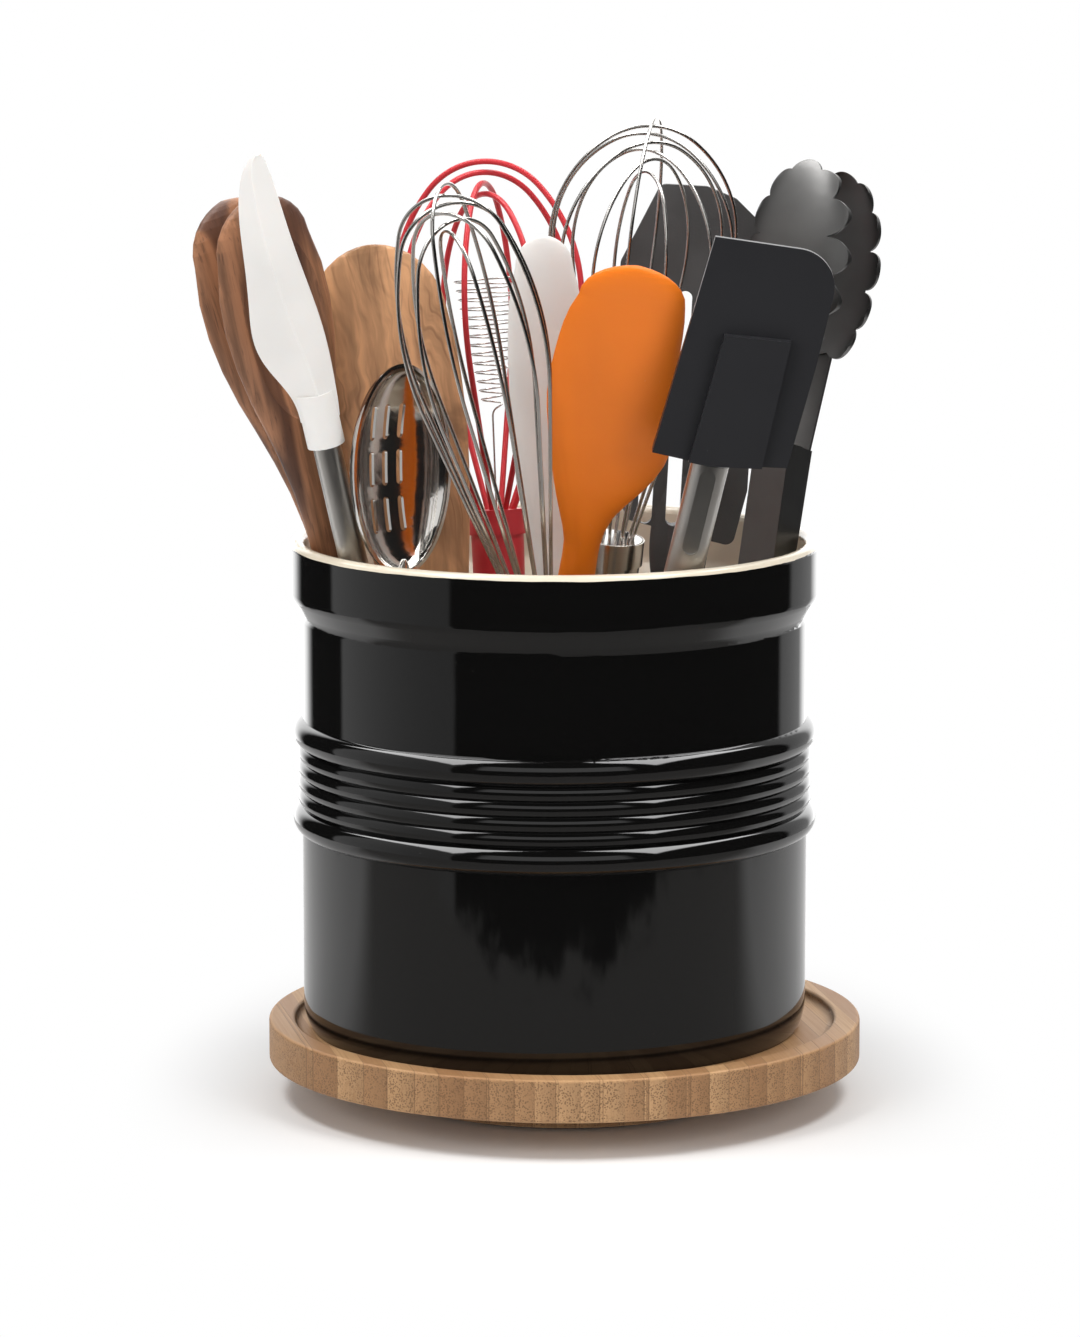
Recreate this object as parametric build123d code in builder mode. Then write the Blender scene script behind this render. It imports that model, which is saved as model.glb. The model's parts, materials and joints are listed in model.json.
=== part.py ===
from build123d import *
from math import asin, atan2, cos, hypot, pi, radians, sin, sqrt
import os

os.makedirs("parts", exist_ok=True)

# A stoneware utensil crock on a bamboo turntable, filled with kitchen tools.
# Millimetres, +Z up. The origin is on the table, under the centre of the turntable.

# Turntable sizes
tray_radius = 94.8
tray_thickness = 13.6
tray_edge_round = 1.1
recess_radius = 86.4
recess_depth = 3.0
recess_round = 2.4
base_radius = 58.0
base_thickness = 6.0
base_edge_round = 1.0
foot_radius = 52.0
foot_height = 1.5

# Bearing sizes
race_thickness = 1.0
race_gap = 2.5
track_radius = 34.0
ball_radius = 1.35
ball_count = 20
ball_clearance = 0.05
cage_thickness = 0.6
cage_half_width = 2.2
cage_clearance = 0.12
lower_race_inner_radius = 27.0
lower_race_outer_radius = 45.0
upper_race_outer_radius = 38.0
sleeve_outer_radius = 25.0
lip_width = 3.6
lip_gap = 0.6
pocket_clearance = 0.8
screw_radius = 1.0
screw_head_radius = 1.9
screw_head_height = 0.9
base_screw_depth = 4.0
tray_screw_depth = 5.0
screw_clearance = 0.05
screw_count = 4
base_screw_ring_radius = 41.5
tray_screw_ring_radius = 28.4

# Crock sizes
crock_offset = -3.2
crock_height = 157.4
crock_radius = 80.4
band_radius = 84.0
band_height = 17.6
band_run_in = 6.4
band_round = 5.0
wall_thickness = 5.0
lip_thickness = 4.8
lip_round_share = 0.47
floor_thickness = 6.7
floor_round = 8.0
foot_ring_radius = 77.9
foot_curve_height = 8.8
foot_ring_width = 7.9
foot_ring_depth = 1.2
bead_radius = 83.3
bead_height = 8.6
rib_radius = 81.8
rib_valley_radius = 80.7
rib_pitch = 4.8
rib_count = 4
ribs_base_height = 63.9

# Fits shared by the kitchen tools
seat_clearance = 0.3
bore_clearance = 0.04
overrun = 1.0
dome_share = 0.96
edge_share = 0.35
round_angles = (14, 28, 41, 53, 64, 74, 82, 87)
paddle_steps = 22

# Heights worked out from the sizes above
base_top = foot_height + base_thickness
tray_bottom = base_top + 2 * race_thickness + race_gap
recess_floor = tray_bottom + tray_thickness - recess_depth
inner_radius = crock_radius - wall_thickness
rim_inner_radius = band_radius - lip_thickness
floor_height = recess_floor + floor_thickness
rim_height = recess_floor + crock_height

# Each tool stands on the crock's floor and leans through one point at rim height.
# The two pairs are shares of the inner radius and of the rim's inner radius.
stand_shares = {
    "back_teak_spoon": ((-0.410, 0.352), (-0.914, 0.044)),
    "front_teak_spoon": ((-0.565, 0.246), (-0.902, -0.150)),
    "scraper": ((-0.422, -0.176), (-0.797, -0.480)),
    "olive_spatula": ((-0.241, -0.198), (-0.545, -0.100)),
    "slotted_spoon": ((-0.609, -0.540), (-0.593, -0.472)),
    "french_whisk": ((0.265, -0.219), (-0.121, -0.717)),
    "red_whisk": ((-0.172, 0.268), (-0.234, 0.429)),
    "jar_spatula": ((0.044, 0.082), (-0.011, -0.208)),
    "spoonula": ((-0.188, 0.037), (0.098, -0.485)),
    "balloon_whisk": ((0.069, 0.415), (0.236, 0.168)),
    "turner": ((0.434, 0.519), (0.514, 0.501)),
    "black_spatula": ((0.084, -0.548), (0.505, -0.749)),
    "tongs": ((0.626, -0.420), (0.871, 0.015)),
}


def stand(tool, end_radius, turn=0):
    """Plane at the centre of a tool's round end, z up its handle, x across its head."""
    foot_share, rim_share = stand_shares[tool]
    foot = Vector(
        crock_offset + foot_share[0] * inner_radius,
        foot_share[1] * inner_radius,
        floor_height + seat_clearance + end_radius,
    )
    rim = Vector(
        crock_offset + rim_share[0] * rim_inner_radius,
        rim_share[1] * rim_inner_radius,
        rim_height,
    )
    up = (rim - foot).normalized()
    across = (Vector(1, 0, 0) - up * up.X).normalized().rotate(Axis((0, 0, 0), up), turn)
    return Plane(origin=foot, x_dir=across, z_dir=up)


def oval(plane, height, left, right, half_depth):
    """Upright oval section of a handle or blade, from left to right across the plane."""
    with BuildSketch(plane.offset(height)) as section:
        with Locations(((left + right) / 2, 0)):
            Ellipse((right - left) / 2, half_depth)
    return section.sketch


def eased(rows, height):
    """Row of shares at a height, on a smooth curve through the given rows."""
    last = len(rows) - 2
    step = max(k for k in range(last + 1) if rows[k][0] <= height or k == 0)
    low, high = rows[step], rows[step + 1]
    before, after = rows[max(step - 1, 0)], rows[min(step + 2, last + 1)]
    span = high[0] - low[0]
    part = (height - low[0]) / span
    values = []
    for k in range(1, len(low)):
        low_slope = (high[k] - before[k]) / (high[0] - before[0]) * span
        high_slope = (after[k] - low[k]) / (after[0] - low[0]) * span
        if step == 0:
            low_slope = high[k] - low[k]
        values.append(
            (2 * part**3 - 3 * part**2 + 1) * low[k]
            + (part**3 - 2 * part**2 + part) * low_slope
            + (3 * part**2 - 2 * part**3) * high[k]
            + (part**3 - part**2) * high_slope
        )
    return values


def paddle(plane, length, half_width, half_depth, rows, tip_share, end_radius=0):
    """Ruled skin over oval sections, from rows of shares: height, left, right and depth.

    The tip is round, and so is the foot where an end radius is given.
    """
    sections = []
    if end_radius:
        height, left, right, depth = rows[0]
        for angle in reversed(round_angles):
            narrow = cos(radians(angle))
            sections.append(
                oval(
                    plane,
                    height * length - end_radius * sin(radians(angle)),
                    left * narrow * half_width,
                    right * narrow * half_width,
                    depth * narrow * half_depth,
                )
            )
    first_height, last_height = rows[0][0], rows[-1][0]
    for step in range(paddle_steps + 1):
        height = first_height + (last_height - first_height) * step / paddle_steps
        left, right, depth = eased(rows, height)
        sections.append(
            oval(plane, height * length, left * half_width, right * half_width, depth * half_depth)
        )
    height, left, right, depth = rows[-1]
    middle = (left + right) / 2
    for angle in round_angles:
        narrow = cos(radians(angle))
        reach = (right - left) / 2 * narrow
        sections.append(
            oval(
                plane,
                (height + tip_share * sin(radians(angle))) * length,
                (middle - reach) * half_width,
                (middle + reach) * half_width,
                depth * half_depth * (edge_share + (1 - edge_share) * narrow),
            )
        )
    return loft(sections=sections, ruled=True, mode=Mode.PRIVATE)


def rod(plane, radius, top):
    """Round rod with a domed foot, from the foot to a height up the plane's z axis."""
    with BuildPart() as bar:
        with BuildSketch(plane.offset(-radius)):
            Circle(radius)
        extrude(amount=radius + top)
        foot_ring = bar.edges().filter_by(GeomType.CIRCLE).sort_by(Axis(plane.origin, plane.z_dir))[0]
        fillet(foot_ring, dome_share * radius)
    return bar.part


def egg(plane, height, depth_offset, half_width, half_depth, half_height):
    """Solid egg shape, centred on the plane's z axis apart from its offset in depth."""
    unit = scale(Sphere(1, mode=Mode.PRIVATE), by=(half_width, half_depth, half_height), mode=Mode.PRIVATE)
    return plane * Pos(0, depth_offset, height) * unit


def whisk_path(plane, turn, leg_radius, sink, half_width, widest, apex, crown_share):
    """Path of one whisk wire: straight legs, long side arcs and a crown arc, all tangent."""
    rise = apex - widest
    crown = crown_share * half_width
    side = (half_width**2 + rise**2 - 2 * rise * crown) / (2 * (half_width - crown))
    side_x = half_width - side
    reach = hypot(side_x - leg_radius, widest)
    leg_angle = atan2(widest, side_x - leg_radius) - asin(side / reach)
    leg = sqrt(reach**2 - side**2)
    foot = (leg_radius - sink * cos(leg_angle), -sink * sin(leg_angle))
    knee = (leg_radius + leg * cos(leg_angle), leg * sin(leg_angle))
    crown_z = apex - crown
    join_angle = atan2(crown_z - widest, -side_x)
    join = (crown * cos(join_angle), crown_z + crown * sin(join_angle))
    middle_angle = (leg_angle - pi / 2 + join_angle) / 2
    middle = (side_x + side * cos(middle_angle), widest + side * sin(middle_angle))
    radial = plane.x_dir.rotate(Axis((0, 0, 0), plane.z_dir), turn)
    loop_plane = Plane(origin=plane.origin, x_dir=radial, z_dir=radial.cross(plane.z_dir))
    with BuildLine(loop_plane) as path:
        Line(foot, knee)
        ThreePointArc(knee, middle, join)
        ThreePointArc(join, (0, apex), (-join[0], join[1]))
        ThreePointArc((-join[0], join[1]), (-middle[0], middle[1]), (-knee[0], knee[1]))
        Line((-knee[0], knee[1]), (-foot[0], foot[1]))
    return path.wires()[0]


def end_disc(path, radius):
    """Round section square to the start of a path."""
    with BuildSketch(Plane(origin=path @ 0, z_dir=path % 0)) as section:
        Circle(radius)
    return section.sketch


def flat_rod(plane, half_width, half_depth, top):
    """Rod of oval section with a domed foot."""
    bar = scale(rod(Plane.XY, half_width, top), by=(1, half_depth / half_width, 1), mode=Mode.PRIVATE)
    return plane * bar


def face_of(plane, height):
    """Upright plane on a tool's axis that faces its front, with y up the tool."""
    return Plane(
        origin=plane.origin + plane.z_dir * height,
        x_dir=plane.x_dir,
        z_dir=-plane.y_dir,
    )


# Rubber foot under the base
with BuildPart() as rubber_foot:
    with BuildSketch():
        Circle(foot_radius)
    extrude(amount=foot_height)
rubber_foot.part.label = "rubber_foot"

# Base disc, with a pocket for the bearing's lip and holes for its screws
with BuildPart() as base_disc:
    with BuildSketch(Plane.XY.offset(foot_height)):
        Circle(base_radius)
    extrude(amount=base_thickness)
    fillet(base_disc.edges().filter_by(GeomType.CIRCLE), base_edge_round)
    with BuildSketch(Plane.XY.offset(base_top)):
        Circle(sleeve_outer_radius + lip_width + pocket_clearance)
    extrude(amount=-(race_thickness + lip_gap + pocket_clearance), mode=Mode.SUBTRACT)
    with BuildSketch(Plane.XY.offset(base_top)):
        with PolarLocations(base_screw_ring_radius, screw_count):
            Circle(screw_radius + screw_clearance)
    extrude(amount=-(base_screw_depth + screw_clearance), mode=Mode.SUBTRACT)
base_disc.part.label = "base_disc"

# Lower bearing race, with its ball track and screw holes
ball_height = base_top + race_thickness + race_gap / 2
with BuildPart() as lower_race:
    with BuildSketch(Plane.XY.offset(base_top)):
        Circle(lower_race_outer_radius)
        Circle(lower_race_inner_radius, mode=Mode.SUBTRACT)
        with PolarLocations(base_screw_ring_radius, screw_count):
            Circle(screw_radius + screw_clearance, mode=Mode.SUBTRACT)
    extrude(amount=race_thickness)
    with Locations((0, 0, ball_height)):
        Torus(track_radius, ball_radius + ball_clearance, mode=Mode.SUBTRACT)
lower_race.part.label = "lower_race"

# Upper bearing race, with the rolled sleeve and lip that hook under the lower race
lip_top = base_top - lip_gap
with BuildPart() as upper_race:
    with BuildSketch(Plane.XY.offset(tray_bottom - race_thickness)):
        Circle(upper_race_outer_radius)
        Circle(sleeve_outer_radius - race_thickness, mode=Mode.SUBTRACT)
        with PolarLocations(tray_screw_ring_radius, screw_count):
            Circle(screw_radius + screw_clearance, mode=Mode.SUBTRACT)
    extrude(amount=race_thickness)
    with BuildSketch(Plane.XY.offset(lip_top - race_thickness)):
        Circle(sleeve_outer_radius)
        Circle(sleeve_outer_radius - race_thickness, mode=Mode.SUBTRACT)
    extrude(amount=tray_bottom - race_thickness - lip_top + race_thickness)
    with BuildSketch(Plane.XY.offset(lip_top - race_thickness)):
        Circle(sleeve_outer_radius + lip_width)
        Circle(sleeve_outer_radius - race_thickness, mode=Mode.SUBTRACT)
    extrude(amount=race_thickness)
    with Locations((0, 0, ball_height)):
        Torus(track_radius, ball_radius + ball_clearance, mode=Mode.SUBTRACT)
upper_race.part.label = "upper_race"

# Bearing balls
with BuildPart() as bearing_balls:
    with Locations((0, 0, ball_height)):
        with PolarLocations(track_radius, ball_count):
            Sphere(ball_radius)
bearing_balls.part.label = "bearing_balls"

# Ball cage
with BuildPart() as ball_cage:
    with BuildSketch(Plane.XY.offset(ball_height - cage_thickness / 2)):
        Circle(track_radius + cage_half_width)
        Circle(track_radius - cage_half_width, mode=Mode.SUBTRACT)
        with PolarLocations(track_radius, ball_count):
            Circle(ball_radius + cage_clearance, mode=Mode.SUBTRACT)
    extrude(amount=cage_thickness)
ball_cage.part.label = "ball_cage"

# Screws that hold the lower race to the base
with BuildPart() as base_screws:
    with BuildSketch(Plane.XY.offset(base_top - base_screw_depth)):
        with PolarLocations(base_screw_ring_radius, screw_count):
            Circle(screw_radius)
    extrude(amount=base_screw_depth + race_thickness)
    with BuildSketch(Plane.XY.offset(base_top + race_thickness)):
        with PolarLocations(base_screw_ring_radius, screw_count):
            Circle(screw_head_radius)
    extrude(amount=screw_head_height)
base_screws.part.label = "base_screws"

# Screws that hold the upper race to the tray
with BuildPart() as tray_screws:
    with BuildSketch(Plane.XY.offset(tray_bottom - race_thickness)):
        with PolarLocations(tray_screw_ring_radius, screw_count):
            Circle(screw_radius)
    extrude(amount=tray_screw_depth + race_thickness)
    with BuildSketch(Plane.XY.offset(tray_bottom - race_thickness)):
        with PolarLocations(tray_screw_ring_radius, screw_count):
            Circle(screw_head_radius)
    extrude(amount=-screw_head_height)
tray_screws.part.label = "tray_screws"

# Bamboo tray with the shallow round recess that the crock stands in
with BuildPart() as tray:
    with BuildSketch(Plane.XY.offset(tray_bottom)):
        Circle(tray_radius)
    extrude(amount=tray_thickness)
    fillet(tray.edges().filter_by(GeomType.CIRCLE), tray_edge_round)
    with BuildSketch(Plane.XY.offset(tray_bottom + tray_thickness)):
        Circle(recess_radius)
    extrude(amount=-recess_depth, mode=Mode.SUBTRACT)
    recess_rings = tray.edges().filter_by(GeomType.CIRCLE).filter_by(
        lambda edge: abs(edge.radius - recess_radius) < overrun / 2
    )
    fillet(recess_rings.sort_by(Axis.Z)[0], recess_round)
    fillet(recess_rings.sort_by(Axis.Z)[-1], tray_edge_round)
    with BuildSketch(Plane.XY.offset(tray_bottom)):
        with PolarLocations(tray_screw_ring_radius, screw_count):
            Circle(screw_radius + screw_clearance)
    extrude(amount=tray_screw_depth + screw_clearance, mode=Mode.SUBTRACT)
tray.part.label = "tray"

# Crock: a turned pot with a thick rim band, two beads and a run of small ribs between them
band_low = rim_height - band_height
band_end = band_low - band_run_in
ribs_low = recess_floor + ribs_base_height + bead_height
ribs_high = ribs_low + rib_count * rib_pitch
lip_round = lip_round_share * lip_thickness
foot_top = recess_floor + foot_curve_height
foot_inner_radius = foot_ring_radius - foot_ring_width
crock_axis = Axis((crock_offset, 0, 0), (0, 0, 1))
with BuildPart() as crock:
    with BuildSketch(Plane(origin=(crock_offset, 0, 0), x_dir=(1, 0, 0), z_dir=(0, -1, 0))):
        with BuildLine():
            FilletPolyline(
                (0, floor_height),
                (inner_radius, floor_height),
                (inner_radius, band_end),
                (rim_inner_radius, band_low),
                (rim_inner_radius, rim_height),
                (band_radius, rim_height),
                (band_radius, band_low),
                (crock_radius, band_end),
                (crock_radius, ribs_high + bead_height),
                radius=[floor_round, band_round, band_round, lip_round, lip_round, band_round, band_round],
            )
            ThreePointArc(
                (crock_radius, ribs_high + bead_height),
                (bead_radius, ribs_high + bead_height / 2),
                (rib_valley_radius, ribs_high),
            )
            for rib in range(rib_count):
                ThreePointArc(
                    (rib_valley_radius, ribs_high - rib * rib_pitch),
                    (rib_radius, ribs_high - (rib + 0.5) * rib_pitch),
                    (rib_valley_radius, ribs_high - (rib + 1) * rib_pitch),
                )
            ThreePointArc(
                (rib_valley_radius, ribs_low),
                (bead_radius, ribs_low - bead_height / 2),
                (crock_radius, ribs_low - bead_height),
            )
            Line((crock_radius, ribs_low - bead_height), (crock_radius, foot_top))
            TangentArc((crock_radius, foot_top), (foot_ring_radius, recess_floor), tangent=(0, -1))
            Polyline(
                (foot_ring_radius, recess_floor),
                (foot_inner_radius, recess_floor),
                (foot_inner_radius, recess_floor + foot_ring_depth),
                (0, recess_floor + foot_ring_depth),
                (0, floor_height),
            )
        make_face()
    revolve(axis=crock_axis)
crock.part.label = "crock"

# Teak spoon sizes
teak_length = 266.4
teak_half_width = 20.5
teak_half_depth = 6.0
teak_turn = 40
scoop_depth = 5.2
scoop_wall = 3.0
teak_shares = (
    (0, -0.245, 0.245, 0.83),
    (0.2, -0.25, 0.25, 0.78),
    (0.4, -0.26, 0.26, 0.75),
    (0.55, -0.29, 0.29, 0.75),
    (0.63, -0.37, 0.37, 0.78),
    (0.70, -0.56, 0.56, 0.88),
    (0.77, -0.82, 0.82, 0.98),
    (0.84, -0.98, 0.98, 1.0),
    (0.90, -0.97, 0.97, 0.92),
    (0.94, -0.86, 0.86, 0.8),
)
teak_tip_share = 0.06
teak_end_radius = teak_shares[0][2] * teak_half_width
scoop_height_share = 0.85
scoop_reach_share = 0.125

# Two carved teak spoons of one pattern, each with a scooped bowl
teak_spoons = []
for tool in ("back_teak_spoon", "front_teak_spoon"):
    grip = stand(tool, teak_end_radius, teak_turn)
    with BuildPart() as teak_spoon:
        body = paddle(
            grip, teak_length, teak_half_width, teak_half_depth, teak_shares, teak_tip_share, teak_end_radius
        )
        add(body)
        scoop = egg(
            grip,
            teak_length * scoop_height_share,
            -teak_half_depth - overrun,
            teak_half_width - scoop_wall,
            scoop_depth + overrun,
            teak_length * scoop_reach_share,
        )
        add(scoop, mode=Mode.SUBTRACT)
    teak_spoon.part.label = tool
    teak_spoons.append(teak_spoon)

# Scraper sizes: a ridged silicone head on a steel tube
scraper_length = 282.3
scraper_head_length = 94.3
scraper_half_width = 14.6
scraper_ridge = 5.2
scraper_edge = 0.7
scraper_tube_radius = 4.4
scraper_bore_depth = 14.0
socket_radius = 5.9
scraper_cap_length = 16.0
scraper_cap_wall = 0.9
scraper_blade_shares = (
    (0.09, -0.42, 0.42, 0.23, 0.86),
    (0.18, -0.5, 0.47, 0.1, 0.92),
    (0.30, -0.87, 0.5, 0.03, 0.98),
    (0.38, -1.0, 0.49, -0.05, 1.0),
    (0.50, -0.94, 0.42, -0.15, 0.97),
    (0.66, -0.81, 0.29, -0.24, 0.88),
    (0.80, -0.71, 0.21, -0.28, 0.76),
    (0.90, -0.56, 0.16, -0.26, 0.62),
    (0.965, -0.36, 0.11, -0.2, 0.48),
    (1.0, -0.12, 0.05, -0.04, 0.3),
)

# Silicone head: a six-sided blade with a ridge down its face, run into a round socket
scraper_grip = stand("scraper", scraper_tube_radius)
head_base = scraper_length - scraper_head_length


def ridged_section(height, left, right, ridge, depth):
    """Blade section with thin edges and a ridge between them on the front and the back."""
    with BuildSketch(scraper_grip.offset(head_base + height * scraper_head_length)) as section:
        with BuildLine():
            Polyline(
                (left * scraper_half_width, -scraper_edge),
                (ridge * scraper_half_width, -depth * scraper_ridge),
                (right * scraper_half_width, -scraper_edge),
                (right * scraper_half_width, scraper_edge),
                (ridge * scraper_half_width, depth * scraper_ridge),
                (left * scraper_half_width, scraper_edge),
                close=True,
            )
        make_face()
    return section.sketch


with BuildPart() as scraper_head:
    loft(sections=[ridged_section(*shares) for shares in scraper_blade_shares])
    socket_top = head_base + scraper_blade_shares[1][0] * scraper_head_length
    loft(
        sections=[
            oval(scraper_grip, head_base, -socket_radius, socket_radius, socket_radius),
            oval(scraper_grip, socket_top, -socket_radius, socket_radius, scraper_ridge),
        ]
    )
    with BuildSketch(scraper_grip.offset(head_base)):
        Circle(scraper_tube_radius + bore_clearance)
    extrude(amount=scraper_bore_depth, mode=Mode.SUBTRACT)
scraper_head.part.label = "scraper_head"

# Steel tube handle, whose lower end fills a rubber cap
with BuildPart() as scraper_tube:
    with BuildSketch(scraper_grip.offset(scraper_cap_wall)):
        Circle(scraper_tube_radius - scraper_cap_wall)
    extrude(amount=scraper_cap_length)
    with BuildSketch(scraper_grip.offset(scraper_cap_length)):
        Circle(scraper_tube_radius)
    extrude(amount=head_base + scraper_bore_depth - bore_clearance - scraper_cap_length)
scraper_tube.part.label = "scraper_tube"

with BuildPart() as scraper_cap:
    add(rod(scraper_grip, scraper_tube_radius, scraper_cap_length - bore_clearance))
    with BuildSketch(scraper_grip.offset(scraper_cap_wall)):
        Circle(scraper_tube_radius - scraper_cap_wall + bore_clearance)
    extrude(amount=scraper_cap_length, mode=Mode.SUBTRACT)
scraper_cap.part.label = "scraper_cap"

# Olive spatula, one piece of wood with a long flat blade
olive_length = 241.9
olive_half_width = 23.0
olive_half_depth = 4.0
olive_end_radius = 5.5
olive_shares = (
    (0, -0.24, 0.24, 1.37),
    (0.2, -0.26, 0.26, 1.25),
    (0.36, -0.30, 0.30, 1.15),
    (0.46, -0.42, 0.42, 1.1),
    (0.54, -0.56, 0.58, 1.05),
    (0.63, -0.72, 0.76, 1.0),
    (0.73, -0.88, 0.92, 0.95),
    (0.83, -1.0, 0.98, 0.86),
    (0.90, -0.96, 0.94, 0.76),
)
olive_tip_share = 0.10
olive_grip = stand("olive_spatula", olive_end_radius)
with BuildPart() as olive_spatula:
    add(
        paddle(
            olive_grip, olive_length, olive_half_width, olive_half_depth,
            olive_shares, olive_tip_share, olive_end_radius,
        )
    )
olive_spatula.part.label = "olive_spatula"

# Slotted spoon sizes, all pressed from one sheet of steel
slotted_length = 206.3
slotted_half_width = 22.0
slotted_half_reach = 33.0
slotted_dish = 9.0
slotted_wall = 1.1
slotted_turn = 48
slotted_end_radius = 3.6
slotted_stem_half_width = 4.2
slotted_stem_half_depth = 1.5
slot_width = 2.4
slot_length = 11.0
slot_pitch = 6.2
slot_row_pitch = 14.5
slot_columns = 3
slot_rows = 3
slotted_stem_shares = (
    (0, -0.86, 0.86, 1.0),
    (0.3, -1.0, 1.0, 1.0),
    (0.6, -0.8, 0.8, 1.0),
    (0.9, -1.0, 1.0, 1.0),
)
slotted_stem_tip_share = 0.12

# Bowl cut from an egg-shaped shell, with rows of slots and a flat stem
spoon_grip = stand("slotted_spoon", slotted_end_radius, slotted_turn)
bowl_middle = slotted_length - slotted_half_reach
with BuildPart() as slotted_spoon:
    add(egg(spoon_grip, bowl_middle, 0, slotted_half_width, slotted_dish, slotted_half_reach))
    hollow = egg(
        spoon_grip,
        bowl_middle,
        0,
        slotted_half_width - slotted_wall,
        slotted_dish - slotted_wall,
        slotted_half_reach - slotted_wall,
    )
    add(hollow, mode=Mode.SUBTRACT)
    split(bisect_by=Plane(origin=spoon_grip.origin, z_dir=spoon_grip.y_dir), keep=Keep.TOP)
    slot_plane = Plane(
        origin=spoon_grip.origin + spoon_grip.z_dir * bowl_middle,
        x_dir=spoon_grip.z_dir,
        z_dir=spoon_grip.y_dir,
    )
    with BuildSketch(slot_plane):
        with GridLocations(slot_row_pitch, slot_pitch, slot_rows, slot_columns):
            SlotOverall(slot_length, slot_width)
    extrude(amount=slotted_dish + overrun, mode=Mode.SUBTRACT)
    stem_top = slotted_length - 2 * slotted_half_reach + 2 * slotted_wall
    add(
        paddle(
            spoon_grip, stem_top, slotted_stem_half_width, slotted_stem_half_depth,
            slotted_stem_shares, slotted_stem_tip_share, slotted_end_radius,
        )
    )
slotted_spoon.part.label = "slotted_spoon"

# Whisk sizes; each wire's row gives its turn, drop share, width share
french_length = 275.3
french_cage = 138.0
french_half_width = 22.0
french_widest_share = 0.66
french_wire_radius = 0.6
french_leg_radius = 6.2
french_handle_radius = 9.5
french_end_radius = 9.5
french_wires = (
    (74, 0, 0.96),
    (-12, 0.019, 1.0),
    (14, 0.040, 1.0),
    (-38, 0.061, 0.98),
    (42, 0.083, 0.94),
    (-68, 0.106, 0.84),
)
balloon_length = 277.6
balloon_cage = 137.0
balloon_half_width = 29.5
balloon_widest_share = 0.735
balloon_wire_radius = 0.55
balloon_leg_radius = 6.4
balloon_handle_radius = 9.5
balloon_end_radius = 9.5
balloon_wires = (
    (80, 0, 0.98),
    (6, 0.020, 1.0),
    (-18, 0.039, 1.0),
    (30, 0.058, 1.0),
    (-42, 0.078, 0.98),
    (55, 0.098, 0.9),
    (-67, 0.130, 0.66),
)
red_length = 258.9
red_cage = 112.0
red_half_width = 31.0
red_widest_share = 0.62
red_wire_radius = 0.95
red_leg_radius = 5.6
red_handle_radius = 8.5
red_end_radius = 8.5
red_wires = (
    (-14, 0, 1.0),
    (31, 0.031, 1.0),
    (76, 0.062, 0.97),
    (-59, 0.093, 0.94),
)
crown_share = 0.78
wire_sink = 5.0
ferrule_height = 8.0
ferrule_wall = 0.8
ferrule_round = 0.6
waist_share = 0.8
waist_height_share = 0.45
whisk_sizes = {
    "french_whisk": (
        french_length, french_cage, french_half_width, french_widest_share,
        french_leg_radius, french_wire_radius, french_handle_radius, french_end_radius, french_wires,
    ),
    "balloon_whisk": (
        balloon_length, balloon_cage, balloon_half_width, balloon_widest_share,
        balloon_leg_radius, balloon_wire_radius, balloon_handle_radius, balloon_end_radius, balloon_wires,
    ),
    "red_whisk": (
        red_length, red_cage, red_half_width, red_widest_share,
        red_leg_radius, red_wire_radius, red_handle_radius, red_end_radius, red_wires,
    ),
}
coil_height = 41.0
coil_rise = 34.0
coil_low_radius = 3.2
coil_high_radius = 11.4
coil_wire_radius = 0.3
coil_turns = 14
coil_lead = 4.0
samples_per_turn = 24


def biarc(start, start_way, end, end_way):
    """Middle point and direction of two tangent arcs that join two directed points."""
    chord = end - start
    turn_sum = start_way + end_way
    slope = chord.dot(turn_sum)
    bend = 2 * (1 - start_way.dot(end_way))
    reach = (sqrt(slope**2 + bend * chord.dot(chord)) - slope) / bend
    start_knee = start + start_way * reach
    end_knee = end - end_way * reach
    return (start_knee + end_knee) / 2, (end_knee - start_knee).normalized()


def coil_point(plane, turns):
    """Point of the tapering coil after some turns."""
    share = turns / coil_turns
    radius = coil_low_radius + (coil_high_radius - coil_low_radius) * share
    around = plane.x_dir * cos(2 * pi * turns) + plane.y_dir * sin(2 * pi * turns)
    return plane.origin + around * radius + plane.z_dir * (coil_rise + coil_height * share)


def coil_way(plane, turns):
    """Direction of the coil there."""
    radius = coil_low_radius + (coil_high_radius - coil_low_radius) * turns / coil_turns
    flare = (coil_high_radius - coil_low_radius) / coil_turns
    around = plane.x_dir * cos(2 * pi * turns) + plane.y_dir * sin(2 * pi * turns)
    onward = plane.y_dir * cos(2 * pi * turns) - plane.x_dir * sin(2 * pi * turns)
    way = around * flare + onward * 2 * pi * radius + plane.z_dir * coil_height / coil_turns
    return way.normalized()


# Steel coil inside the red whisk: one unbroken wire from the handle up its tapering turns
coil_grip = stand("red_whisk", red_end_radius).offset(red_length - red_cage)
stem_foot = coil_grip.origin - coil_grip.z_dir * wire_sink
stem_head = coil_grip.origin + coil_grip.z_dir * (coil_rise - coil_lead)
coil_stops = [(stem_head, coil_grip.z_dir)]
for quarter in range(4 * coil_turns + 1):
    coil_stops.append((coil_point(coil_grip, quarter / 4), coil_way(coil_grip, quarter / 4)))
with BuildPart() as red_whisk_coil:
    with BuildLine() as coil_path:
        Line(stem_foot, stem_head)
        for (start, start_way), (end, end_way) in zip(coil_stops, coil_stops[1:]):
            middle, middle_way = biarc(start, start_way, end, end_way)
            TangentArc(start, middle, tangent=start_way)
            TangentArc(middle, end, tangent=middle_way)
    coil_wire = coil_path.wires()[0]
    sweep(sections=end_disc(coil_wire, coil_wire_radius), path=coil_wire)
red_whisk_coil.part.label = "red_whisk_coil"

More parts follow.
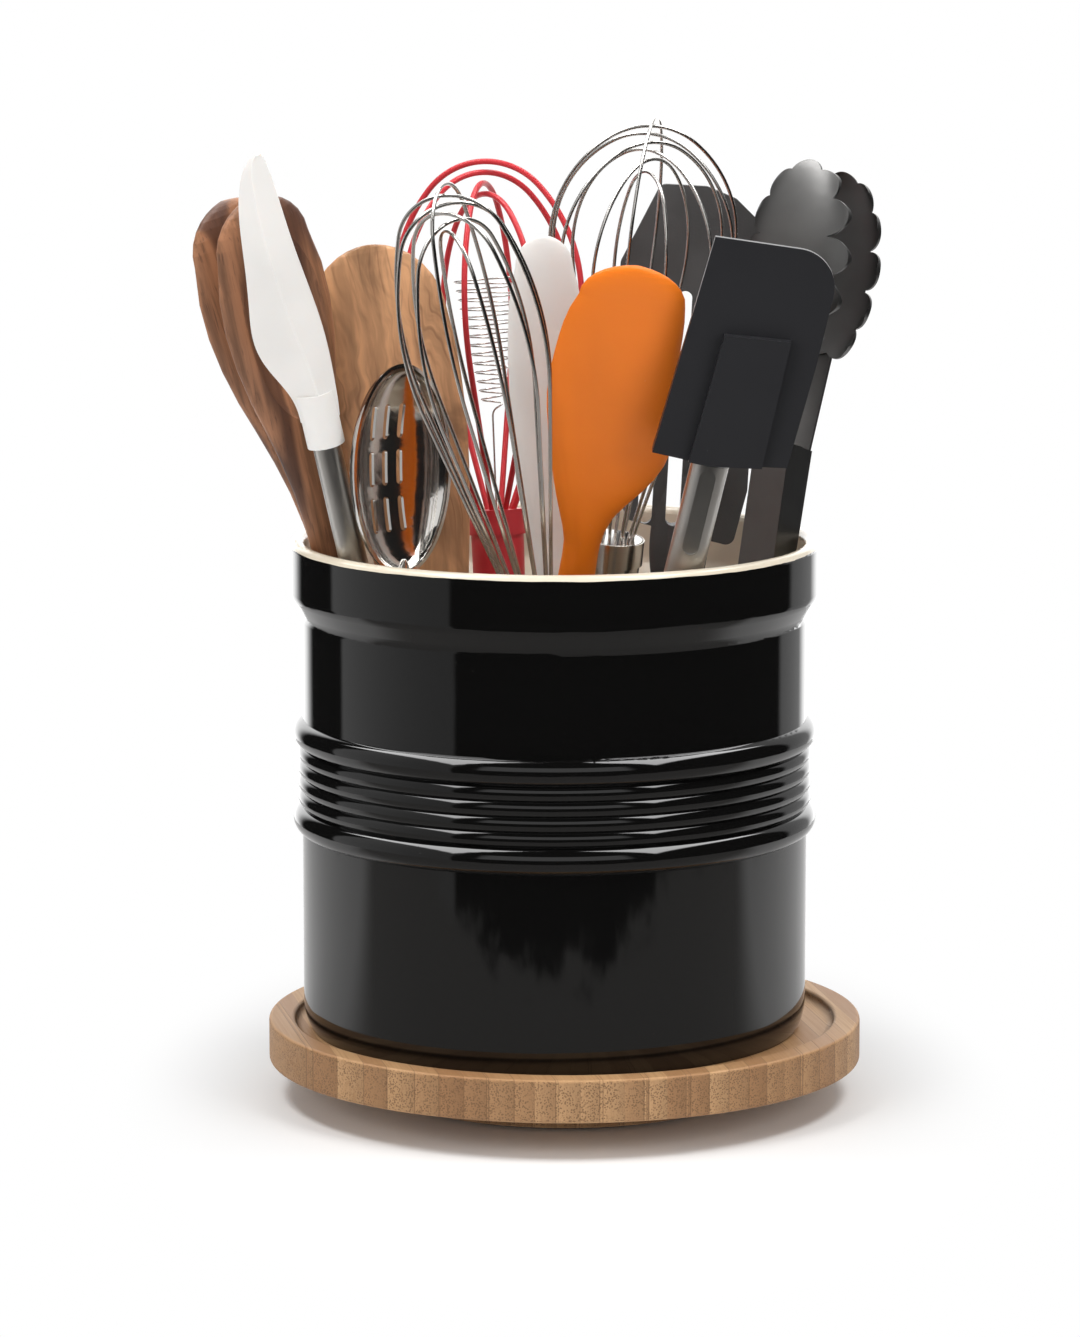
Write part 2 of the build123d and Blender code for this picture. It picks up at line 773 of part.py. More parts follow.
# Least gap between points of the coil that lie half a turn or more apart
coil_samples = [
    coil_point(coil_grip, step / samples_per_turn) for step in range(samples_per_turn * coil_turns + 1)
]
least_gap = min(
    (coil_samples[i] - coil_samples[j]).length - 2 * coil_wire_radius
    for i in range(len(coil_samples))
    for j in range(i + samples_per_turn // 2, len(coil_samples))
)
print("least gap of the coil to itself", round(least_gap, 2), "mm")

# Each whisk: nested wires sunk into its handle, with a ferrule round the handle's mouth
whisk_pieces = []
for tool, sizes in whisk_sizes.items():
    length, cage, half_width, widest_share, leg_radius, wire_radius, handle_radius, end_radius, wires = sizes
    foot_grip = stand(tool, end_radius)
    handle_length = length - cage
    grip = foot_grip.offset(handle_length)
    with BuildPart() as wire_cage:
        for turn, drop, width in wires:
            apex = cage * (1 - drop)
            path = whisk_path(
                grip, turn, leg_radius, wire_sink, half_width * width, apex * widest_share, apex, crown_share
            )
            sweep(sections=end_disc(path, wire_radius), path=path)
    with BuildPart() as handle:
        with BuildSketch(Plane(origin=foot_grip.origin, x_dir=foot_grip.x_dir, z_dir=-foot_grip.y_dir)):
            with BuildLine():
                Spline(
                    (end_radius, 0),
                    (handle_radius * waist_share, handle_length * waist_height_share),
                    (handle_radius, handle_length - ferrule_height),
                    tangents=((0, 1), (0, 1)),
                )
                Polyline(
                    (handle_radius, handle_length - ferrule_height),
                    (handle_radius, handle_length),
                    (0, handle_length),
                    (0, -end_radius),
                )
                RadiusArc((0, -end_radius), (end_radius, 0), -end_radius)
            make_face()
        revolve(axis=Axis(foot_grip.origin, foot_grip.z_dir))
        add(wire_cage.part, mode=Mode.SUBTRACT)
        if tool == "red_whisk":
            add(red_whisk_coil.part, mode=Mode.SUBTRACT)
    with BuildPart() as ferrule:
        with BuildSketch(grip.offset(-ferrule_height)):
            Circle(handle_radius + ferrule_wall)
            Circle(handle_radius + bore_clearance, mode=Mode.SUBTRACT)
        extrude(amount=ferrule_height)
        rings = ferrule.edges().filter_by(GeomType.CIRCLE)
        fillet(rings.sort_by(Axis(grip.origin, grip.z_dir))[-1], ferrule_round)
    wire_cage.part.label = tool + "_wires"
    handle.part.label = tool + "_handle"
    ferrule.part.label = tool + "_ferrule"
    whisk_pieces += [wire_cage, handle, ferrule]

# Jar spatula sizes: a slim white silicone blade on a steel rod
jar_length = 248.9
jar_half_width = 12.0
jar_half_depth = 3.2
jar_rod_radius = 3.2
jar_bore_depth = 22.0
jar_shares = (
    (0.502, -0.42, 0.42, 1.5),
    (0.545, -0.44, 0.44, 1.45),
    (0.60, -0.58, 0.58, 1.2),
    (0.68, -0.88, 0.88, 1.0),
    (0.78, -0.98, 0.98, 0.95),
    (0.86, -1.0, 1.0, 0.88),
    (0.92, -0.92, 0.92, 0.8),
    (0.96, -0.75, 0.75, 0.72),
)
jar_tip_share = 0.04
jar_grip = stand("jar_spatula", jar_rod_radius)
with BuildPart() as jar_spatula_blade:
    add(paddle(jar_grip, jar_length, jar_half_width, jar_half_depth, jar_shares, jar_tip_share))
    with BuildSketch(jar_grip.offset(jar_shares[0][0] * jar_length)):
        Circle(jar_rod_radius + bore_clearance)
    extrude(amount=jar_bore_depth, mode=Mode.SUBTRACT)
jar_spatula_blade.part.label = "jar_spatula_blade"

with BuildPart() as jar_spatula_rod:
    add(rod(jar_grip, jar_rod_radius, jar_shares[0][0] * jar_length + jar_bore_depth - bore_clearance))
jar_spatula_rod.part.label = "jar_spatula_rod"

# Spoonula sizes: a broad lopsided orange silicone blade on a wooden handle
spoonula_length = 248.9
spoonula_half_width = 22.8
spoonula_half_depth = 4.6
spoonula_neck_share = 0.53
spoonula_handle_radius = 6.4
spoonula_tenon_radius = 3.4
spoonula_tenon_length = 24.0
spoonula_shares = (
    (0.53, -0.27, 0.27, 1.3),
    (0.58, -0.25, 0.25, 1.22),
    (0.625, -0.25, 0.25, 1.15),
    (0.65, -0.32, 0.30, 1.12),
    (0.673, -0.41, 0.42, 1.08),
    (0.705, -0.52, 0.70, 1.05),
    (0.735, -0.60, 0.90, 1.0),
    (0.77, -0.70, 1.0, 0.98),
    (0.825, -0.80, 0.99, 0.93),
    (0.89, -0.765, 0.90, 0.85),
    (0.93, -0.69, 0.89, 0.76),
    (0.955, -0.58, 0.86, 0.7),
)
spoonula_tip_share = 0.045
spoonula_grip = stand("spoonula", spoonula_handle_radius)
neck_height = spoonula_neck_share * spoonula_length
with BuildPart() as spoonula_blade:
    add(
        paddle(
            spoonula_grip, spoonula_length, spoonula_half_width, spoonula_half_depth,
            spoonula_shares, spoonula_tip_share,
        )
    )
    with BuildSketch(spoonula_grip.offset(neck_height)):
        Circle(spoonula_tenon_radius + bore_clearance)
    extrude(amount=spoonula_tenon_length, mode=Mode.SUBTRACT)
spoonula_blade.part.label = "spoonula_blade"

with BuildPart() as spoonula_handle:
    add(rod(spoonula_grip, spoonula_handle_radius, neck_height))
    with BuildSketch(spoonula_grip.offset(neck_height)):
        Circle(spoonula_tenon_radius)
    extrude(amount=spoonula_tenon_length - bore_clearance)
spoonula_handle.part.label = "spoonula_handle"

# Slotted nylon turner sizes
turner_length = 253.8
turner_blade_length = 116.0
turner_half_width = 24.0
turner_thickness = 2.6
turner_corner_round = 3.0
turner_overlap = 6.0
turner_slot_width = 4.6
turner_slot_length = 76.0
turner_slot_pitch = 9.0
turner_slot_count = 3
turner_slot_offset = -2.6
turner_slot_low = 6.0
turner_half_depth = 4.6
turner_blade_shares = (
    (-0.52, 1.0),
    (0.1, 1.0),
    (0.5, 0.97),
    (0.88, 0.90),
    (0.88, 0.16),
    (0.72, 0),
    (-0.72, 0.06),
    (-1.0, 0.2),
    (-1.0, 0.78),
)
turner_handle_half_width = 5.2
turner_rib_half_width = 9.5
turner_rib_half_depth = 3.4
turner_rib_reach = 24.0

# Turner: a flat slotted blade, its handle and the rib that joins them, moulded in one
turner_grip = stand("turner", turner_handle_half_width)
blade_low = turner_length - turner_blade_length
with BuildPart() as turner:
    add(flat_rod(turner_grip, turner_handle_half_width, turner_half_depth, blade_low + turner_overlap))
    add(egg(turner_grip, blade_low, 0, turner_rib_half_width, turner_rib_half_depth, turner_rib_reach))
    with BuildSketch(face_of(turner_grip, blade_low)):
        with BuildLine():
            Polyline(
                *[(x * turner_half_width, y * turner_blade_length) for x, y in turner_blade_shares],
                close=True,
            )
        make_face()
        fillet(vertices(), turner_corner_round)
    extrude(amount=turner_thickness / 2, both=True)
    with BuildSketch(face_of(turner_grip, blade_low)):
        with Locations((turner_slot_offset, turner_slot_low + turner_slot_length / 2)):
            with GridLocations(turner_slot_pitch, turner_slot_width, turner_slot_count, 1):
                SlotOverall(turner_slot_length, turner_slot_width, rotation=90)
    extrude(amount=turner_rib_half_depth + overrun, both=True, mode=Mode.SUBTRACT)
turner.part.label = "turner"

# Black spatula sizes: a wedge-shaped silicone blade with a raised socket, on an oval steel handle
black_length = 255.0
black_blade_length = 72.5
black_half_width = 24.2
black_low_thickness = 5.6
black_top_thickness = 1.8
black_corner_radius = 12.0
pad_rise = 2.2
black_handle_half_width = 5.9
black_handle_half_depth = 4.3
black_tang_radius = 2.2
black_tang_length = 36.0
thumb_groove_length = 27.0
thumb_groove_width = 5.0
thumb_groove_depth = 0.9
thumb_groove_gap = 1.6
blade_outline_shares = (
    (-0.756, 0),
    (-0.04, 0),
    (0.95, 0.06),
    (1.0, 0.5),
    (1.0, 1.0),
    (-0.62, 0.957),
)
socket_outline_shares = (
    (-0.285, 0),
    (-0.04, 0),
    (0.635, 0.04),
    (0.61, 0.6),
    (-0.225, 0.565),
)

# Black silicone blade
black_grip = stand("black_spatula", black_handle_half_width)
black_low = black_length - black_blade_length
with BuildPart() as black_spatula_blade:
    with BuildSketch(face_of(black_grip, black_low)):
        with BuildLine():
            Polyline(
                *[(x * black_half_width, y * black_blade_length) for x, y in blade_outline_shares],
                close=True,
            )
        make_face()
        corners = vertices().sort_by_distance((black_half_width, black_blade_length))
        fillet(corners[0], black_corner_radius)
    extrude(amount=black_low_thickness, both=True)
    side_plane = Plane(face_of(black_grip, black_low).origin, x_dir=black_grip.y_dir, z_dir=black_grip.x_dir)
    with BuildSketch(side_plane):
        with BuildLine():
            Polyline(
                (-black_low_thickness / 2, 0),
                (black_low_thickness / 2, 0),
                (black_top_thickness / 2, black_blade_length),
                (-black_top_thickness / 2, black_blade_length),
                close=True,
            )
        make_face()
    extrude(amount=2 * black_half_width, both=True, mode=Mode.INTERSECT)
    with BuildSketch(face_of(black_grip, black_low)):
        with BuildLine():
            Polyline(
                *[(x * black_half_width, y * black_blade_length) for x, y in socket_outline_shares],
                close=True,
            )
        make_face()
    extrude(amount=black_low_thickness / 2 + pad_rise)
    with BuildSketch(black_grip.offset(black_low)):
        Circle(black_tang_radius + bore_clearance)
    extrude(amount=black_tang_length, mode=Mode.SUBTRACT)
black_spatula_blade.part.label = "black_spatula_blade"

# Steel handle with a thumb groove, and a tang that fills the blade's socket
with BuildPart() as black_spatula_handle:
    add(flat_rod(black_grip, black_handle_half_width, black_handle_half_depth, black_low))
    with BuildSketch(black_grip.offset(black_low)):
        Circle(black_tang_radius)
    extrude(amount=black_tang_length - bore_clearance)
    groove_middle = black_low - thumb_groove_gap - thumb_groove_length / 2
    groove_floor = black_handle_half_depth - thumb_groove_depth
    with BuildSketch(face_of(black_grip, groove_middle).offset(groove_floor)):
        SlotOverall(thumb_groove_length, thumb_groove_width, rotation=90)
    extrude(amount=thumb_groove_depth + overrun, mode=Mode.SUBTRACT)
black_spatula_handle.part.label = "black_spatula_handle"

# Tongs sizes: two channel-shaped steel arms on one pin, with dished scalloped jaws
tongs_length = 266.9
tongs_end_radius = 9.0
tongs_turn = -35
tongs_spread_angle = 0.9
arm_offset = 5.0
arm_sheet = 1.0
arm_flange_depth = 8.0
front_arm_half_width = 6.5
arm_side_clearance = 0.25
arm_top_share = 0.66
arm_foot_reach = 7.7
neck_half_width = 4.6
neck_reach_share = 0.86
jaw_half_width = 20.5
jaw_half_height = 34.0
jaw_dish = 7.0
lobe_radius = 6.2
lobe_count = 11
lobe_step_angle = 29
lobe_ring_half_width = 13.4
lobe_ring_half_height = 26.4
pin_radius = 1.5
pin_running_clearance = 0.05
pin_head_radius = 2.6
pin_head_thickness = 0.8
spring_wire = 0.8
spring_half_length = 3.2

tongs_grip = stand("tongs", tongs_end_radius, tongs_turn)
jaw_middle = tongs_length - lobe_ring_half_height - lobe_radius
rear_arm_half_width = front_arm_half_width - arm_sheet - arm_side_clearance
arm_top = arm_top_share * tongs_length
neck_top = jaw_middle - neck_reach_share * lobe_ring_half_height
neck_end = arm_offset + jaw_dish * sqrt(1 - ((jaw_middle - neck_top) / jaw_half_height) ** 2) - arm_sheet / 2


def tongs_arm(side, half_width, hole_radius):
    """One arm with its jaw; side is -1 for the front arm and 1 for the rear one."""
    up = tongs_grip.z_dir.rotate(Axis((0, 0, 0), tongs_grip.x_dir), -side * tongs_spread_angle)
    arm_plane = Plane(origin=tongs_grip.origin, x_dir=tongs_grip.x_dir, z_dir=up)
    with BuildPart() as arm:
        with BuildSketch(arm_plane.offset(-arm_foot_reach)):
            with Locations((0, side * (arm_offset - arm_flange_depth / 2))):
                Rectangle(2 * half_width, arm_flange_depth)
            with Locations((0, side * (arm_offset - arm_sheet - arm_flange_depth / 2))):
                Rectangle(2 * (half_width - arm_sheet), arm_flange_depth, mode=Mode.SUBTRACT)
        extrude(amount=arm_foot_reach + arm_top)
        with BuildSketch(Plane(origin=arm_plane.origin, z_dir=arm_plane.x_dir)):
            Circle(hole_radius)
        extrude(amount=2 * half_width, both=True, mode=Mode.SUBTRACT)
        with BuildSketch(Plane(origin=arm_plane.origin, x_dir=arm_plane.y_dir, z_dir=arm_plane.x_dir)):
            with BuildLine():
                Polyline(
                    (side * arm_offset, arm_top - arm_sheet),
                    (side * (arm_offset - arm_sheet), arm_top - arm_sheet),
                    (side * (neck_end - arm_sheet), neck_top),
                    (side * neck_end, neck_top),
                    close=True,
                )
            make_face()
        extrude(amount=neck_half_width, both=True)
    jaw_offset = side * (arm_offset - arm_sheet)
    shell = egg(arm_plane, jaw_middle, jaw_offset, jaw_half_width, jaw_dish, jaw_half_height)
    hollow = egg(
        arm_plane,
        jaw_middle,
        jaw_offset,
        jaw_half_width - arm_sheet,
        jaw_dish - arm_sheet,
        jaw_half_height - arm_sheet,
    )
    with BuildPart() as jaw:
        with BuildSketch(face_of(arm_plane, jaw_middle).offset(-jaw_offset)):
            Ellipse(lobe_ring_half_width, lobe_ring_half_height)
            for lobe in range(lobe_count):
                angle = radians(90 + (lobe - (lobe_count - 1) / 2) * lobe_step_angle)
                with Locations((lobe_ring_half_width * cos(angle), lobe_ring_half_height * sin(angle))):
                    Circle(lobe_radius)
        extrude(amount=-side * (jaw_dish + overrun))
        add(shell, mode=Mode.INTERSECT)
        add(hollow, mode=Mode.SUBTRACT)
    return arm.part, jaw.part


# Rear arm, fixed to the pin
rear_arm, rear_jaw = tongs_arm(1, rear_arm_half_width, pin_radius)
with BuildPart() as tongs_rear_arm:
    add(rear_arm)
    add(rear_jaw)
tongs_rear_arm.part.label = "tongs_rear_arm"

# Front arm, which swings on the pin
front_arm, front_jaw = tongs_arm(-1, front_arm_half_width, pin_radius + pin_running_clearance)
with BuildPart() as tongs_front_arm:
    add(front_arm)
    add(front_jaw)
tongs_front_arm.part.label = "tongs_front_arm"

# Hinge pin with a head at each end
with BuildPart() as tongs_pin:
    with BuildSketch(Plane(origin=tongs_grip.origin, z_dir=tongs_grip.x_dir)):
        Circle(pin_radius)
    extrude(amount=front_arm_half_width + arm_side_clearance, both=True)
    for side in (-1, 1):
        head_reach = side * (front_arm_half_width + arm_side_clearance)
        head_origin = tongs_grip.origin + tongs_grip.x_dir * head_reach
        with BuildSketch(Plane(origin=head_origin, z_dir=tongs_grip.x_dir * side)):
            Circle(pin_head_radius)
        extrude(amount=pin_head_thickness)
tongs_pin.part.label = "tongs_pin"

# Coil spring body round the pin, between the rear arm's flanges
with BuildPart() as tongs_spring:
    with BuildSketch(Plane(origin=tongs_grip.origin, z_dir=tongs_grip.x_dir)):
        Circle(pin_radius + pin_running_clearance + spring_wire)
        Circle(pin_radius + pin_running_clearance, mode=Mode.SUBTRACT)
    extrude(amount=spring_half_length, both=True)
tongs_spring.part.label = "tongs_spring"

# Write every piece
pieces = [
    rubber_foot, base_disc, lower_race, upper_race, bearing_balls, ball_cage, base_screws, tray_screws,
    tray, crock, *teak_spoons, scraper_head, scraper_tube, scraper_cap, olive_spatula, slotted_spoon,
    *whisk_pieces, red_whisk_coil, jar_spatula_blade, jar_spatula_rod, spoonula_blade, spoonula_handle,
    turner, black_spatula_blade, black_spatula_handle,
    tongs_rear_arm, tongs_front_arm, tongs_pin, tongs_spring,
]
for piece in pieces:
    export_step(piece.part, f"parts/{piece.part.label}.step")
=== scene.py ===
"""Looks for a utensil crock: a black glazed pot of kitchen tools on a bamboo turntable."""

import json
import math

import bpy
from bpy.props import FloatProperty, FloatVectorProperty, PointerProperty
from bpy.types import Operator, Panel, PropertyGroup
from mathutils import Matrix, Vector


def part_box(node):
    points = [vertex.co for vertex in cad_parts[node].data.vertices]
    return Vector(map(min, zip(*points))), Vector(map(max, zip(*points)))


bl_info = {
    "name": "Utensil Crock",
    "version": (1, 0, 0),
    "blender": (4, 5, 0),
    "location": "3D View > Sidebar > Crock",
    "description": "Finishes for a utensil crock, its turntable and its kitchen tools",
    "category": "Object",
}

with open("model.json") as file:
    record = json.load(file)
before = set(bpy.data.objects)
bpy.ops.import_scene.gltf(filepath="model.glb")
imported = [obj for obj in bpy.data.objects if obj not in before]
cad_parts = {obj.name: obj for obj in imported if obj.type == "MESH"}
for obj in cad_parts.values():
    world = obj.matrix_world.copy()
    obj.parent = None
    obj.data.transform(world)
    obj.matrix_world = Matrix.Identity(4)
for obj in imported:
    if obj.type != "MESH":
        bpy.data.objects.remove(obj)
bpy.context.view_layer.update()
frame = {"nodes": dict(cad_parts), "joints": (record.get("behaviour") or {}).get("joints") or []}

NODES = frame["nodes"]
LIFT_AXES = {joint["name"]: Vector(joint["axis"]) for joint in frame["joints"]}
MM = 0.001
ASIDE = Vector((1, 0, 0))
UP = Vector((0, 0, 1))

# Crock: its axis and outer radius, how far inside that radius the liner of the wall and of the
# floor begins, and from what height above its underside
CROCK_LOW, CROCK_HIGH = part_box("crock")
CROCK_AXIS = ((CROCK_LOW.x + CROCK_HIGH.x) / 2, (CROCK_LOW.y + CROCK_HIGH.y) / 2)
CROCK_RADIUS = (CROCK_HIGH.x - CROCK_LOW.x) / 2
WALL_LINER = (4.2 * MM, 9.5 * MM)
FLOOR_LINER = (9.0 * MM, 6.0 * MM)

# Bamboo: how far the strips turn from the photograph's width
STRIP_TURN = math.radians(79)

# Silicone: roughness of the skin and how much light goes into it
WHITE_SKIN = (0.42, 0.35)
ORANGE_SKIN = (0.48, 0.20)
RED_SKIN = (0.36, 0.10)
BLACK_SKIN = (0.30, 0.0)
FOOT_SKIN = (0.60, 0.0)

# Steel: roughness, how much the drawing lines add to it, and how deep they are
PLATED = (0.28, 0.10, 0.02 * MM)
WIRE = (0.13, 0.08, 0.01 * MM)
BRIGHT = (0.10, 0.10, 0.01 * MM)
SATIN = (0.24, 0.18, 0.02 * MM)
MIRROR = (0.06, 0.03, 0.004 * MM)
DARKENED = (0.30, 0.14, 0.02 * MM)
PIN = (0.22, 0.10, 0.01 * MM)

# Studio, in metres
FLOOR_HALF = 3.0
LAMP_TARGET = (0, 0, 0.15)
OVERHEAD = {"place": (0.60, -0.25, 1.35), "size": (0.92, 0.30)}
SIDE_FILL = {"place": (1.1, -1.1, 0.65), "size": (0.8, 0.8)}
CAMERA_PLACE = (-0.00785, -1.889, 0.4501)
CAMERA_DOWN = math.radians(9.388)
SENSOR_WIDTH = 36
FARTHEST = 20
WHITE = (1, 1, 1, 1)


def colour(name, note, value):
    """A colour setting with its name, its note and its default."""
    return FloatVectorProperty(
        name=name, description=note, subtype="COLOR", size=3, min=0, max=1, default=value
    )


def length(name, note, value, least=0):
    """A length setting in metres."""
    return FloatProperty(name=name, description=note, default=value, min=least, unit="LENGTH")


def amount(name, note, value, least=0):
    """A plain number as a setting."""
    return FloatProperty(name=name, description=note, default=value, min=least)


class CrockFinish(PropertyGroup):
    glaze: colour("Glaze", "Black glaze outside the crock", (0.0034, 0.0033, 0.0032))
    liner: colour("Liner", "Cream glaze inside the crock and on its lip", (0.82, 0.73, 0.58))
    lip_band: length("Lip band", "Height of the cream edge on the lip", 1.7 * MM)
    wobble: length("Wobble", "Rise and fall of the turned surface", 0.06 * MM)


class WoodFinish(PropertyGroup):
    bamboo_light: colour("Light strips", "Lightest bamboo strips", (0.51, 0.305, 0.148))
    bamboo_dark: colour("Dark strips", "Darkest bamboo strips", (0.31, 0.158, 0.068))
    strip_width: length("Strip width", "Width of one bamboo strip", 6.8 * MM, MM)
    teak_light: colour("Teak", "Light teak between the streaks", (0.39, 0.178, 0.089))
    teak_dark: colour("Teak streaks", "Dark streaks in the teak", (0.062, 0.025, 0.016))
    olive_light: colour("Olive wood", "Light olive wood", (0.67, 0.355, 0.175))
    olive_dark: colour("Olive figure", "Dark figure in the olive wood", (0.13, 0.050, 0.024))
    beech: colour("Beech", "Wooden handle", (0.48, 0.29, 0.16))


class ToolFinish(PropertyGroup):
    white: colour("White silicone", "Scraper and jar spatula", (0.81, 0.79, 0.765))
    orange: colour("Orange silicone", "Spoon-shaped spatula", (0.83, 0.192, 0.005))
    red: colour("Red silicone", "Red whisk", (0.60, 0.035, 0.045))
    black: colour("Black silicone", "Wide spatula and end cap", (0.0215, 0.0215, 0.024))
    nylon: colour("Nylon", "Slotted turner", (0.054, 0.053, 0.053))
    rubber: colour("Rubber", "Foot of the turntable", (0.02, 0.02, 0.02))
    cage: colour("Cage", "Plastic cage of the bearing", (0.74, 0.73, 0.69))
    steel: colour("Steel", "Bright stainless steel", (0.66, 0.64, 0.61))
    dark_steel: colour("Dark steel", "Darkened steel of the tongs", (0.145, 0.143, 0.14))


class StudioSettings(PropertyGroup):
    key_power: amount("Key", "Power of each overhead lamp in watts", 8.5)
    fill_power: amount("Fill", "Power of each side lamp in watts", 7.5)
    sky_level: amount("Sky", "Even light from all round", 0.34)
    lens: amount("Lens", "Focal length in millimetres", 161.9, 1)


class Signal:
    """A socket in a node tree; sums and comparisons on it add Math nodes."""

    def __init__(self, bench, socket):
        self.bench = bench
        self.socket = socket

    def math(self, operation, first, second=0.0):
        return self.bench.node("ShaderNodeMath", {"operation": operation}, {0: first, 1: second})

    def __add__(self, other):
        return self.math("ADD", self, other)

    __radd__ = __add__

    def __sub__(self, other):
        return self.math("SUBTRACT", self, other)

    def __rsub__(self, other):
        return self.math("SUBTRACT", other, self)

    def __mul__(self, other):
        return self.math("MULTIPLY", self, other)

    __rmul__ = __mul__

    def __truediv__(self, other):
        return self.math("DIVIDE", self, other)

    def __pow__(self, other):
        return self.math("POWER", self, other)

    def __abs__(self):
        return self.math("ABSOLUTE", self)

    def __gt__(self, other):
        return self.math("GREATER_THAN", self, other)

    def __lt__(self, other):
        return self.math("LESS_THAN", self, other)

    def step(self, low, high):
        """0 below low, 1 above high and a smooth step between them."""
        return self.bench.node(
            "ShaderNodeMapRange",
            {"interpolation_type": "SMOOTHSTEP"},
            {"Value": self, "From Min": low, "From Max": high},
        )

    def band(self, rise, fall):
        """1 between two smooth steps and 0 outside them."""
        return self.step(*rise) * (1 - self.step(*fall))

    def floor(self):
        return self.math("FLOOR", self)

    def either(self, other):
        return self.math("MAXIMUM", self, other)

    def waves(self, width):
        """0 to 1 and back, each over one width."""
        return self.math("PINGPONG", self, width) / width


class Bench:
    """A node tree under work: node() adds any node, and the rest are short names for some."""

    def __init__(self, tree):
        self.tree = tree
        tree.nodes.clear()

    def node(self, kind, settings=None, sockets=None, output=0):
        made = self.tree.nodes.new(kind)
        for name, value in (settings or {}).items():
            setattr(made, name, value)
        for name, value in (sockets or {}).items():
            if isinstance(value, Signal):
                self.tree.links.new(value.socket, made.inputs[name])
            else:
                made.inputs[name].default_value = value
        return Signal(self, made.outputs[output])

    def end(self, kind, surface):
        """Links a shader to the output of the tree."""
        output = self.tree.nodes.new(kind)
        self.tree.links.new(surface.socket, output.inputs["Surface"])

    def mix(self, factor, first, second):
        """Colour mix from first to second."""
        return self.node(
            "ShaderNodeMix", {"data_type": "RGBA"}, {0: factor, 6: rgba(first), 7: rgba(second)}, 2
        )

    def mix_shader(self, factor, first, second):
        return self.node("ShaderNodeMixShader", None, {0: factor, 1: first, 2: second})

    def place(self):
        """Position on the piece, in metres, which stays with it when it moves."""
        return self.node("ShaderNodeTexCoord", output="Object")

    def parts(self, position):
        """The three numbers of a position or direction."""
        split = self.node("ShaderNodeSeparateXYZ", None, {"Vector": position})
        return [Signal(self, split.socket.node.outputs[axis]) for axis in "XYZ"]

    def rays(self, *kinds):
        """For each kind of ray, 1 on that kind and 0 on the rest."""
        path = self.node("ShaderNodeLightPath").socket.node.outputs
        return [Signal(self, path[f"Is {kind} Ray"]) for kind in kinds]

    def along(self, position, direction):
        """Distance along a direction."""
        sockets = {0: position, 1: direction}
        return self.node("ShaderNodeVectorMath", {"operation": "DOT_PRODUCT"}, sockets, "Value")

    def vector(self, x, y, z):
        return self.node("ShaderNodeCombineXYZ", None, {"X": x, "Y": y, "Z": z})

    def noise(self, position, scale, detail=3.0, rough=0.5, warp=0.0):
        sockets = {
            "Vector": position, "Scale": scale, "Detail": detail,
            "Roughness": rough, "Distortion": warp,
        }
        return self.node("ShaderNodeTexNoise", None, sockets)

    def cells(self, position, scale, spread=1.0):
        """Distance to the nearest of many scattered points."""
        sockets = {"Vector": position, "Scale": scale, "Randomness": spread}
        return self.node("ShaderNodeTexVoronoi", None, sockets)

    def scatter(self, value):
        """A fixed random number for each value."""
        return self.node("ShaderNodeTexWhiteNoise", {"noise_dimensions": "1D"}, {"W": value})

    def bump(self, height, distance, strength=1.0):
        return self.node(
            "ShaderNodeBump", None, {"Height": height, "Distance": distance, "Strength": strength}
        )


def rgba(value):
    """Four numbers for a colour of three; a socket stays as it is."""
    return value if isinstance(value, Signal) else (*value, 1.0)


def shade(tint, factor):
    """A darker colour, or a lighter one for a factor over 1."""
    return [part * factor for part in tint]


def finish_of(name, recipe, *details):
    """A new material; recipe(bench, *details) returns the sockets of its Principled shader."""
    material = bpy.data.materials.new(name)
    material.use_nodes = True
    bench = Bench(material.node_tree)
    surface = bench.node("ShaderNodeBsdfPrincipled", None, recipe(bench, *details))
    bench.end("ShaderNodeOutputMaterial", surface)
    return material


def dress(material, *names):
    """Gives one material to the named pieces of the frame."""
    for name in names:
        NODES[name].data.materials.clear()
        NODES[name].data.materials.append(material)
        for face in NODES[name].data.polygons:
            face.material_index = 0


def upright(tool):
    """Direction along a tool, from its foot to its head."""
    return LIFT_AXES[tool + "_lift"].normalized()


def tool_place(bench, tool):
    """Distances across, through and along a tool."""
    position = bench.place()
    up = upright(tool)
    across = (ASIDE - up * up.x).normalized()
    return [bench.along(position, direction) for direction in (across, up.cross(across), up)]


def glaze(bench, crock):
    """Black glaze outside, cream inside and on the lip, with a slightly uneven edge."""
    position = bench.place()
    x, y, height = bench.parts(position)
    aside = x - CROCK_AXIS[0]
    back = y - CROCK_AXIS[1]
    radius = (aside * aside + back * back) ** 0.5
    edge = bench.noise(position, 60.0, 2.0) * 0.8 * MM
    liner = height + edge > CROCK_HIGH.z - crock.lip_band + 0.4 * MM
    for inset, rise in (WALL_LINER, FLOOR_LINER):
        liner = liner.either((radius < CROCK_RADIUS - inset) * (height > CROCK_LOW.z + rise))
    pool = bench.noise(position, 14.0, 2.0)
    cream = bench.mix(pool.step(0.3, 0.75), crock.liner, shade(crock.liner, 0.86))
    pinhole = (bench.cells(position, 420.0) < 0.055) * (bench.noise(position, 90.0) > 0.60)
    shell = bench.mix(pinhole, crock.glaze, (0.035, 0.032, 0.03))
    flow = bench.noise(position, 22.0, 1.0) + bench.noise(position, 70.0, 2.0) * 0.25
    return {
        "Base Color": bench.mix(liner, shell, cream),
        "Roughness": 0.035 + 0.05 * bench.noise(position, 35.0, 4.0) + 0.07 * liner,
        "Normal": bench.bump(flow - pinhole * 0.3, crock.wobble * 4.0, 0.35),
        "IOR": 1.5,
    }


